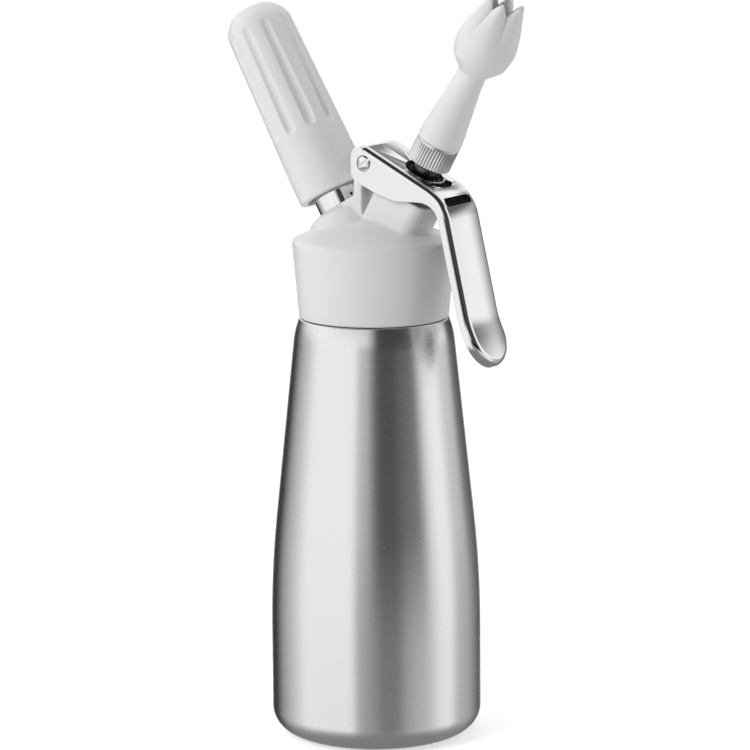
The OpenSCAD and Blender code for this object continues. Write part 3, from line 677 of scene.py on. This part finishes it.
def knee_slot(gap):
    """Outline of the slot across the knee, or of a piece that fills it up to a gap."""
    a, b = KNEE_SLOT_W / 2 - gap, KNEE_SLOT_L / 2 - gap
    r = a - 0.04
    return rounded([(0, -b), (a, -b, r), (a, b, r), (-a, b, r), (-a, -b, r), (0, -b)], 8)[:-1]


def make_lever():
    """The lever, with its side plates, holes and slots, and the black pieces of painted shade that
    it carries.
    """
    o = lever_channel()
    # Turns the outline's plane upright, so that its X and Y are the part's X and Z
    stand = Matrix.Rotation(rad(90), 4, "X")
    for low in (LEVER_W / 2 - SHEET, -LEVER_W / 2):
        boolean(o, prism("plate", side_outline(), low, low + SHEET, stand), "UNION")
    bearing = Matrix.Translation((PIVOT[0], 0, PIVOT[1])) @ stand
    boolean(o, prism("bearing", circle(BEARING_R), -30, 30, bearing))
    low, high = SHOULDER_TOP - 1, SHOULDER_TOP + 7
    boolean(o, prism("valve_hole", circle(WEB_HOLE_R, 96), low, high, VALVE))
    boolean(o, prism("kidney", kidney(0), low, high, VALVE))
    centre = Vector(POSES[2][:2]) + under(WEB_SLOPE) * KNEE_R
    slot_turn = WEB_SLOPE + rad(27)
    across = Matrix.Translation((centre.x, 0, centre.y)) @ Matrix.Rotation(slot_turn, 4, "Y")
    boolean(o, prism("knee_slot", knee_slot(0), KNEE_R - 4, KNEE_R + 4, across))
    # Painted shade: the black rim of the web's hole and the black caps in the slots, which lie
    # below the sheet's outer face, stand for the shade under the ring and inside the slots
    web_under, rim_r, rim_top = WEB_TOP - SHEET, WEB_HOLE_R + 1.1, WEB_TOP + 0.22
    rim = rounded([(WEB_HOLE_R, web_under + 0.3), (rim_r, web_under + 0.3), (rim_r, rim_top, 0.15),
                   (WEB_HOLE_R, rim_top, 0.15)], 5)
    for black in (
        lathe("web_hole_shade_rim", rim, VALVE),
        prism("kidney_shade_fill", kidney(SHADE_FILL_GAP), web_under - 0.3, web_under + 0.75, VALVE),
        prism("knee_shade_fill", knee_slot(SHADE_FILL_GAP), KNEE_R - 1.7, KNEE_R - 0.3, across),
    ):
        piece(black, "lever", PAINTED_SHADE_BLACK, "black_seal")
    bevel = o.modifiers.new("bevel", "BEVEL")
    bevel.width, bevel.segments, bevel.use_clamp_overlap = 0.14 * MM, 2, True
    bevel.limit_method, bevel.angle_limit = "ANGLE", rad(55)
    bake_modifiers(o)
    piece(o, "lever", CHROME, "chrome", "lever", angle=32)


# Valve -------------------------------------------------------------------------------------


def make_stem():
    """The valve's stem: a rod with a foot, a hollow neck and a thread for the tip's ring."""
    foot_r, foot_low, foot_top, passage_low = 6.0, -4.2, -1.5, 1.4
    stem = rounded([
        (0, passage_low), (PASSAGE_R, passage_low), (PASSAGE_R, STEM_TOP, 0.3),
        (STEM_THREAD_R, STEM_TOP, 0.5), (STEM_THREAD_R, RING_FOOT, 0.3),
        (STEM_NECK_R, RING_FOOT), (STEM_NECK_R, SHOULDER_TOP), (STEM_R, SHOULDER_TOP),
        (STEM_R, foot_top), (foot_r, foot_top, 0.3), (foot_r, foot_low, 0.5), (0, foot_low),
    ], 6)
    # The stem and its thread are darkened with painted shade, for the shade under the ring
    piece(lathe("valve_stem_rod", stem, VALVE), "valve", SHADED_STEEL, "nickel", "valve_stem")
    thread = helix_ridge("valve_stem_thread", STEM_THREAD_R, height=0.28, width=0.8, pitch=TIP_LEAD,
                         low=RING_FOOT + 0.6, high=STEM_TOP - 0.4, matrix=VALVE)
    piece(thread, "valve", SHADED_STEEL, "nickel")


def make_cup():
    """The cup between stem and spring: the shoulder that the web presses, and a sleeve below it."""
    top, low = SHOULDER_TOP, SHOULDER_TOP - SHOULDER_T
    bore_r, sleeve_r, sleeve_low = 6.07, HOUSING_BORE_R - RUNNING, low - 10
    cup = rounded([
        (STEM_R, top), (STEM_R, low), (bore_r, low), (bore_r, sleeve_low),
        (sleeve_r, sleeve_low, 0.2), (sleeve_r, low), (SHOULDER_R, low, 0.5),
        (SHOULDER_R, top, 0.5),
    ], 6)
    # The cup is darkened with painted shade, for the shade under the ring
    piece(lathe("spring_cup_sleeve", cup, VALVE), "valve", SHADED_STEEL, "nickel", "spring_cup")


def make_spring():
    """The valve's spring, coiled between the housing's floor and the cup."""
    coil_r, wire_r, gap, sides = 5.17, SPRING_WIRE / 2, 0.1, 12
    low = HOUSING_FLOOR + wire_r + gap
    high = SHOULDER_TOP - SHOULDER_T - wire_r - gap
    count = SPRING_CURLS * 32
    rise = (high - low) / (TAU * SPRING_CURLS)
    rings = []
    for i in range(count + 1):
        t = i / count
        a = TAU * SPRING_CURLS * t
        out = Vector((math.cos(a), math.sin(a), 0))
        run = Vector((-math.sin(a) * coil_r, math.cos(a) * coil_r, rise)).normalized()
        side = run.cross(out)
        centre = out * coil_r + Vector((0, 0, low + (high - low) * t))
        rings.append([tuple(centre + (out * x + side * y) * wire_r) for x, y in circle(1, sides)])
    rings = [middle(rings[0])] + rings + [middle(rings[-1])]
    spring = loft("valve_spring_coil", rings, VALVE)
    piece(spring, "head", STEEL, "steel", "valve_spring")
    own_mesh(spring)


# Decorating tip ----------------------------------------------------------------------------


def make_ring():
    """The knurled ring: straight ribs between two plain bevelled ends."""
    points_a_rib = 8
    n = RING_GROOVES * points_a_rib

    def ribbed(z, r, depth):
        out = []
        for k, (x, y) in enumerate(circle(1, n)):
            rib = 0.5 - 0.5 * math.cos(TAU * k / points_a_rib)
            cut_r = r - RIB_DEPTH * depth * (1 - rib)
            out.append((cut_r * x, cut_r * y, RING_FOOT + z))
        return out

    # Height, radius and share of the ribs' depth
    outside = [
        (0, 7.2, 0), (0.12, 7.5, 0), (0.75, 8.22, 0), (0.95, 8.36, 0.35), (1.15, RING_R, 1),
        (8.75, RING_R, 1), (8.95, 8.36, 0.35), (9.1, 8.3, 0), (9.75, 8.3, 0), (10.0, 8.2, 0),
        (RING_LEN, 7.95, 0),
    ]
    seat, bore_r, thread_r = TIP_FOOT - RING_FOOT, 7.0, STEM_THREAD_R + RUNNING
    inside = [(RING_LEN, bore_r), (seat, bore_r), (seat, thread_r), (0.4, thread_r), (0, 6.0)]
    rings = [ribbed(*step) for step in outside]
    rings += [flat_ring(r, RING_FOOT + z, n) for z, r in inside]
    ring = loft("knurled_ring_nut", rings, VALVE, loop=True)
    piece(ring, "tip", NICKEL, "nickel", "knurled_ring", angle=50)


def nearness(phi):
    """1 on a tine's point, falling to 0 in a notch."""
    a = ((phi - TINE_TURN) * TINES / TAU) % 1
    return abs(a - 0.5) * 2


def crown_edge(phi):
    """Depth of the crown's edge below the tines' points: rounded points and steep notches."""
    return NOTCH_D * (1 - min(1, (nearness(phi) / 0.88) ** 0.8))


def crease(phi):
    """1 on the crease that runs down from a notch, falling to 0 across the petal."""
    return (1 - nearness(phi)) ** 1.7


def resampled(path, low):
    """The path up to low as it is, and evenly spaced above, so that the tines are well shaped."""
    below = [p for p in path if p[1] < low]
    top = [p for p in path if p[1] >= low]
    top.insert(0, below[-1])
    out, steps = list(below), 40
    for i in range(1, steps + 1):
        z = below[-1][1] + (CROWN - below[-1][1]) * i / steps
        j = next(j for j in range(1, len(top)) if top[j][1] >= z - 1e-9)
        (r0, z0), (r1, z1) = top[j - 1], top[j]
        out.append((r0 + (r1 - r0) * (z - z0) / (z1 - z0), z))
    return out


def make_tip():
    """The tip: a tapered body, a waist and a tulip of six petals."""
    plug_r, bore_r, foot, seat = 7.0, 4.0, TIP_FOOT + 0.1, RING_TOP + SEAT_GAP
    outer = rounded([
        (plug_r, foot), (plug_r, seat), (TIP_R, seat, 0.25), (8.3, RING_TOP + 4, 14),
        (5.75, TIP_NECK - 5, 30), (TIP_NECK_R, TIP_NECK, 1.8), (10.4, TIP_NECK + 5.4, 5),
        (12.1, TIP_NECK + 12.4, 16), (10.3, TIP_NECK + 21.4, 30), (CROWN_R, CROWN),
    ], 18)
    inner = rounded([
        (bore_r, foot), (bore_r, TIP_FOOT + 12), (bore_r, TIP_NECK + 2, 1.5),
        (8.8, TIP_NECK + 7.1, 4), (10.5, TIP_NECK + 12.4, 15), (8.7, TIP_NECK + 21.2, 28),
        (6.1, CROWN),
    ], 18)
    n, notch_low, crease_low = 240, TIP_NECK + 12.5, TIP_NECK + 5

    def ring(r, z):
        share = max(0, (z - notch_low) / (CROWN - notch_low)) ** 1.6
        depth = 0.9 * max(0, min(1, (z - crease_low) / (CROWN - crease_low))) ** 1.2
        out = []
        for k in range(n):
            phi = TAU * k / n
            creased_r, drop = r - crease(phi) * depth, crown_edge(phi) * share
            out.append((creased_r * math.cos(phi), creased_r * math.sin(phi), z - drop))
        return out

    path = resampled(outer, notch_low) + resampled(inner, notch_low)[::-1]
    tulip = loft("decorating_tulip", [ring(r, z) for r, z in path], VALVE, loop=True)
    piece(tulip, "tip", WHITE, "white_plastic", "decorating_tip", angle=42)


# Charger -----------------------------------------------------------------------------------


def make_charger():
    """The steel charger, with its neck towards the stub."""
    outside = rounded([
        (0, 0), (CHARGER_NECK_R, 0, 0.5), (CHARGER_NECK_R, 8.5, 2), (CHARGER_R, 15.5, 5),
        (CHARGER_R, CHARGER_LEN, 7.5), (0, CHARGER_LEN),
    ], 14)
    bulb = lathe("gas_charger_bulb", [(r, z + CHARGER_FOOT) for r, z in outside], CHARGER, n=128)
    piece(bulb, "charger", ZINC, "charger_steel", "gas_charger")


def soft_min(a, b, k=0.45):
    """The smaller of two values, with the step between them rounded over a width k."""
    h = max(k - abs(a - b), 0) / k
    return min(a, b) - h * h * k / 4


def make_holder():
    """The holder: a long cup with soft flutes."""
    foot, top, n = HOLDER_FOOT, HOLDER_FOOT + HOLDER_LEN, 400
    profile = rounded([
        (12.6, foot), (HOLDER_RIM_R, foot, 0.8), (HOLDER_RIM_R, foot + 12, 60),
        (HOLDER_TOP_R, top - 7, 8.5), (HOLDER_TOP_R * 0.6, top - 1.2, 8), (0, top),
    ], 14)
    # A flute's round section is centred on this radius, and its round ends at these heights
    low, high = top - FLUTE_FROM_TOP - FLUTE_LEN + FLUTE_R, top - FLUTE_FROM_TOP - FLUTE_R
    centre_r = HOLDER_TOP_R + 0.55 + FLUTE_R - FLUTE_D

    def fluted(r, z, phi):
        gap = max(low - z, z - high, 0)
        if gap >= FLUTE_R:
            return r
        rho = math.sqrt(FLUTE_R ** 2 - gap ** 2)
        step = TAU / FLUTES
        delta = (phi - FLUTE_TURN + step / 2) % step - step / 2
        s = rho ** 2 - (centre_r * math.sin(delta)) ** 2
        return soft_min(r, centre_r * math.cos(delta) - math.sqrt(max(s, 0)))

    fine = []
    for (r0, z0), (r1, z1) in zip(profile, profile[1:]):
        steps = max(1, math.ceil(abs(z1 - z0) / 0.7))
        fine += [(r0 + (r1 - r0) * i / steps, z0 + (z1 - z0) * i / steps) for i in range(steps)]
    rings = [[(0, 0, top)]]
    for r, z in reversed(fine):
        radii = [fluted(r, z, TAU * k / n) for k in range(n)]
        rings.append([(rho * x, rho * y, z) for rho, (x, y) in zip(radii, circle(1, n))])
    seat, bore_r, bore_top = foot + INSERT_TOP, 9.35, CHARGER_FOOT + CHARGER_LEN + 0.3
    for r, z in [(INSERT_R, foot), (INSERT_R, seat), (bore_r, seat), (bore_r, bore_top)]:
        rings.append(flat_ring(r, z, n))
    rings.append([(0, 0, bore_top)])
    cup = loft("charger_holder_cup", rings, CHARGER)
    piece(cup, "holder", WHITE, "white_plastic", "charger_holder")


def make_insert():
    """The holder's threaded insert, whose profile also starts and ends on a side."""
    thread_r, low, high = STUB_R + RUNNING, HOLDER_FOOT + 1.3, HOLDER_FOOT + INSERT_TOP
    profile = rounded([(thread_r, low + 2), (thread_r, low, 0.5), (INSERT_R, low, 0.2),
                       (INSERT_R, high), (thread_r, high, 0.5), (thread_r, low + 2)], 6)[:-1]
    piece(lathe("holder_insert_ring", profile, CHARGER), "holder", BRASS, "brass", "holder_insert")


make_bottle()
make_gasket()
make_head()
make_housing()
make_stub()
make_pivot()
make_lever()
make_stem()
make_cup()
make_spring()
make_ring()
make_tip()
make_charger()
make_holder()
make_insert()

# Nodes that keep their solids, with the material of each
KEPT_NODES = {
    "head_shell": WHITE, "thread_ring": STEEL, "stem_seal": BLACK, "piercing_pin": STEEL,
    "piercing_seal": BLACK, "check_valve": RED, "valve_gasket": BLACK, "tip_washer": BLACK,
}
for name, material in KEPT_NODES.items():
    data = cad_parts[name].data
    data.materials.clear()
    data.materials.append(material)


# Camera, light and floor -------------------------------------------------------------------

# The camera that was fitted to the photograph's proportions
CAMERA_AZIMUTH, CAMERA_AWAY, CAMERA_UP = rad(31.5), 1400, 397.5888
CAMERA_AT = Vector((CAMERA_AWAY * math.sin(CAMERA_AZIMUTH),
                    -CAMERA_AWAY * math.cos(CAMERA_AZIMUTH), CAMERA_UP)) * MM
TARGET = Vector((0, 0, 140.3865)) * MM
ROLL = rad(0.405518)
LENS, SENSOR, SHIFT_X = 177.09, 36, 0.000647


def make_camera():
    forward = (TARGET - CAMERA_AT).normalized()
    right = forward.cross(Vector((0, 0, 1))).normalized()
    up = right.cross(forward)
    x = right * math.cos(ROLL) - up * math.sin(ROLL)
    y = right * math.sin(ROLL) + up * math.cos(ROLL)
    data = bpy.data.cameras.new("camera")
    data.sensor_width, data.lens, data.shift_x = SENSOR, LENS, SHIFT_X
    data.clip_start, data.clip_end = 0.01, 20
    o = bpy.data.objects.new("camera", data)
    o.matrix_world = Matrix((
        (x.x, y.x, -forward.x, CAMERA_AT.x), (x.y, y.y, -forward.y, CAMERA_AT.y),
        (x.z, y.z, -forward.z, CAMERA_AT.z), (0, 0, 0, 1)))
    bpy.context.scene.collection.objects.link(o)
    bpy.context.scene.camera = o


# Light from round the object, as degrees to the right of where the camera stands, and strength.
# Below the horizon it is what the bottle's wall mirrors.
LOW = [
    (-180, 1.0), (-172, 1.0), (-162, 0.01), (-142, 0.02), (-122, 0.36), (-104, 0.6), (-86, 0.95),
    (-27, 1.0), (-20, 0.4), (-8, 0.36), (0, 0.36), (6, 0.27), (24, 0.27), (31, 0.48), (45, 0.66),
    (62, 0.7), (78, 0.92), (90, 0.95), (102, 0.47), (122, 0.39), (142, 0.2), (160, 0.05),
    (172, 1.0), (180, 1.0),
]
# Just above it, the bottle's upper wall still mirrors the same, and the lever's face a bright side
MIDDLE = [(d, v) for d, v in LOW if d <= 62] + [(76, 1.0), (180, 1.0)]
# Above that, it is what the lever mirrors: a dark side beyond the right shoulder
HIGH = [
    (-180, 1.0), (-12, 1.0), (-3, 0.5), (3, 0.05), (56, 0.05), (64, 0.6), (76, 1.0), (180, 1.0),
]
# And overhead it is dark above the camera
OVERHEAD = [
    (-180, 0.9), (-100, 0.9), (-84, 0.3), (-70, 0.04), (70, 0.04), (90, 0.4), (105, 0.9),
    (180, 0.9),
]

# Elevations and azimuths between which a patch fades in and out, and its strength
DARK_PATCHES = [
    ((5, 21), (25, 30), (96, 106), (138, 148), 0.13),
    ((-9, -7), (7, 9), (-12, 0), (50, 68), 0.01),
    ((-8, -4), (8, 16), (118, 136), (175, 178), 0.04),
    ((25, 30), (38, 44), (142, 150), (163, 168), 0.25),
]


def make_world():
    """The studio's light. The camera itself sees it as white."""
    world = bpy.data.worlds.new("studio")
    bpy.context.scene.world = world
    world.use_nodes = True
    tree = world.node_tree
    new, link = tree.nodes.new, tree.links.new
    background = tree.nodes["Background"]

    def math_node(operation, a, b=0.0):
        n = new("ShaderNodeMath")
        n.operation = operation
        for socket, value in zip(n.inputs, (a, b)):
            feed(tree, socket, value)
        return n.outputs[0]

    split = new("ShaderNodeSeparateXYZ")
    link(new("ShaderNodeTexCoord").outputs["Generated"], split.inputs[0])
    turn = math_node("ARCTAN2", split.outputs[1], split.outputs[0])
    # 0.5 where the camera stands, growing to its right
    facing = CAMERA_AZIMUTH - rad(90)
    part = math_node("FRACT", math_node("ADD", math_node("DIVIDE", turn, TAU), 1.5 - facing / TAU))

    def ramp(stops):
        n = new("ShaderNodeValToRGB")
        elements = n.color_ramp.elements
        while len(elements) < len(stops):
            elements.new(0.5)
        for e, (degrees, value) in zip(elements, stops):
            e.position = degrees / 360 + 0.5
            e.color = (value, value, value, 1)
        link(part, n.inputs[0])
        return n.outputs[0]

    def mix(factor, a, b):
        n = new("ShaderNodeMix")
        n.data_type = "RGBA"
        link(factor, n.inputs[0])
        for socket, value in ((n.inputs[6], a), (n.inputs[7], b)):
            plain = isinstance(value, float)
            feed(tree, socket, (value, value, value, 1) if plain else value)
        return n.outputs[2]

    def rise(value, low, high):
        n = new("ShaderNodeMapRange")
        n.interpolation_type = "SMOOTHSTEP"
        link(value, n.inputs[0])
        n.inputs[1].default_value, n.inputs[2].default_value = low, high
        return n.outputs[0]

    def height(low, high):
        return rise(split.outputs[2], math.sin(rad(low)), math.sin(rad(high)))

    def inside(value, a, b, c, d):
        risen = rise(value, a, b)
        return math_node("MULTIPLY", risen, math_node("SUBTRACT", 1.0, rise(value, c, d)))

    color = mix(height(-4, 0), ramp(LOW), ramp(MIDDLE))
    color = mix(height(6, 10), color, ramp(HIGH))
    color = mix(height(32, 42), color, ramp(OVERHEAD))
    # Dark patches, which the lever shows below its knee, along its long edges and on its web
    for low, high, left, right, value in DARK_PATCHES:
        upward = inside(split.outputs[2], *[math.sin(rad(a)) for a in low + high])
        sideways = inside(part, *[0.5 + a / 360 for a in left + right])
        color = mix(math_node("MULTIPLY", upward, sideways), color, value)
    color = mix(height(-20, -45), color, 0.22)
    path = new("ShaderNodeLightPath")
    color = mix(path.outputs["Is Camera Ray"], color, 1.0)
    link(color, background.inputs[0])
    background.inputs[1].default_value = 1.0


LAMP_AWAY, LAMP_SIZE = 1.6, 0.7       # in metres


def area_lamp(name, azimuth, elevation, energy):
    """A round lamp that metal doesn't mirror, at an azimuth from the camera's."""
    data = bpy.data.lights.new(name, "AREA")
    data.shape, data.size, data.energy = "DISK", LAMP_SIZE, energy
    o = bpy.data.objects.new(name, data)
    a = CAMERA_AZIMUTH - rad(90) + rad(azimuth)
    e = rad(elevation)
    at = Vector((math.cos(a) * math.cos(e), math.sin(a) * math.cos(e), math.sin(e))) * LAMP_AWAY
    o.location = at + TARGET
    o.rotation_euler = at.to_track_quat("Z", "Y").to_euler()
    o.visible_glossy = False
    bpy.context.scene.collection.objects.link(o)


FLOOR_HALF, FLOOR_GLOW = 3000, 0.47


def make_floor():
    """A pale floor, which glows for the camera alone, so that it comes out nearly white."""
    corners = [(x * FLOOR_HALF, y * FLOOR_HALF, 0) for x, y in [(-1, -1), (1, -1), (1, 1), (-1, 1)]]
    floor = mesh_object("floor", corners, [[0, 1, 2, 3]])
    m = bpy.data.materials.new("pale_floor")
    m.use_nodes = True
    shader = m.node_tree.nodes["Principled BSDF"]
    shader.inputs["Base Color"].default_value = (0.9, 0.9, 0.9, 1)
    shader.inputs["Roughness"].default_value = 0.9
    shader.inputs["Emission Color"].default_value = (1, 1, 1, 1)
    path = m.node_tree.nodes.new("ShaderNodeLightPath")
    lift = m.node_tree.nodes.new("ShaderNodeMath")
    lift.operation = "MULTIPLY"
    lift.inputs[1].default_value = FLOOR_GLOW
    m.node_tree.links.new(path.outputs["Is Camera Ray"], lift.inputs[0])
    m.node_tree.links.new(lift.outputs[0], shader.inputs["Emission Strength"])
    floor.data.materials.append(m)
    floor.visible_glossy = False


make_camera()
make_world()
area_lamp("key", azimuth=-48, elevation=42, energy=8.5)
area_lamp("rim", azimuth=112, elevation=24, energy=5)
make_floor()

scene = bpy.context.scene
scene.view_settings.view_transform = "Standard"

bpy.context.view_layer.update()
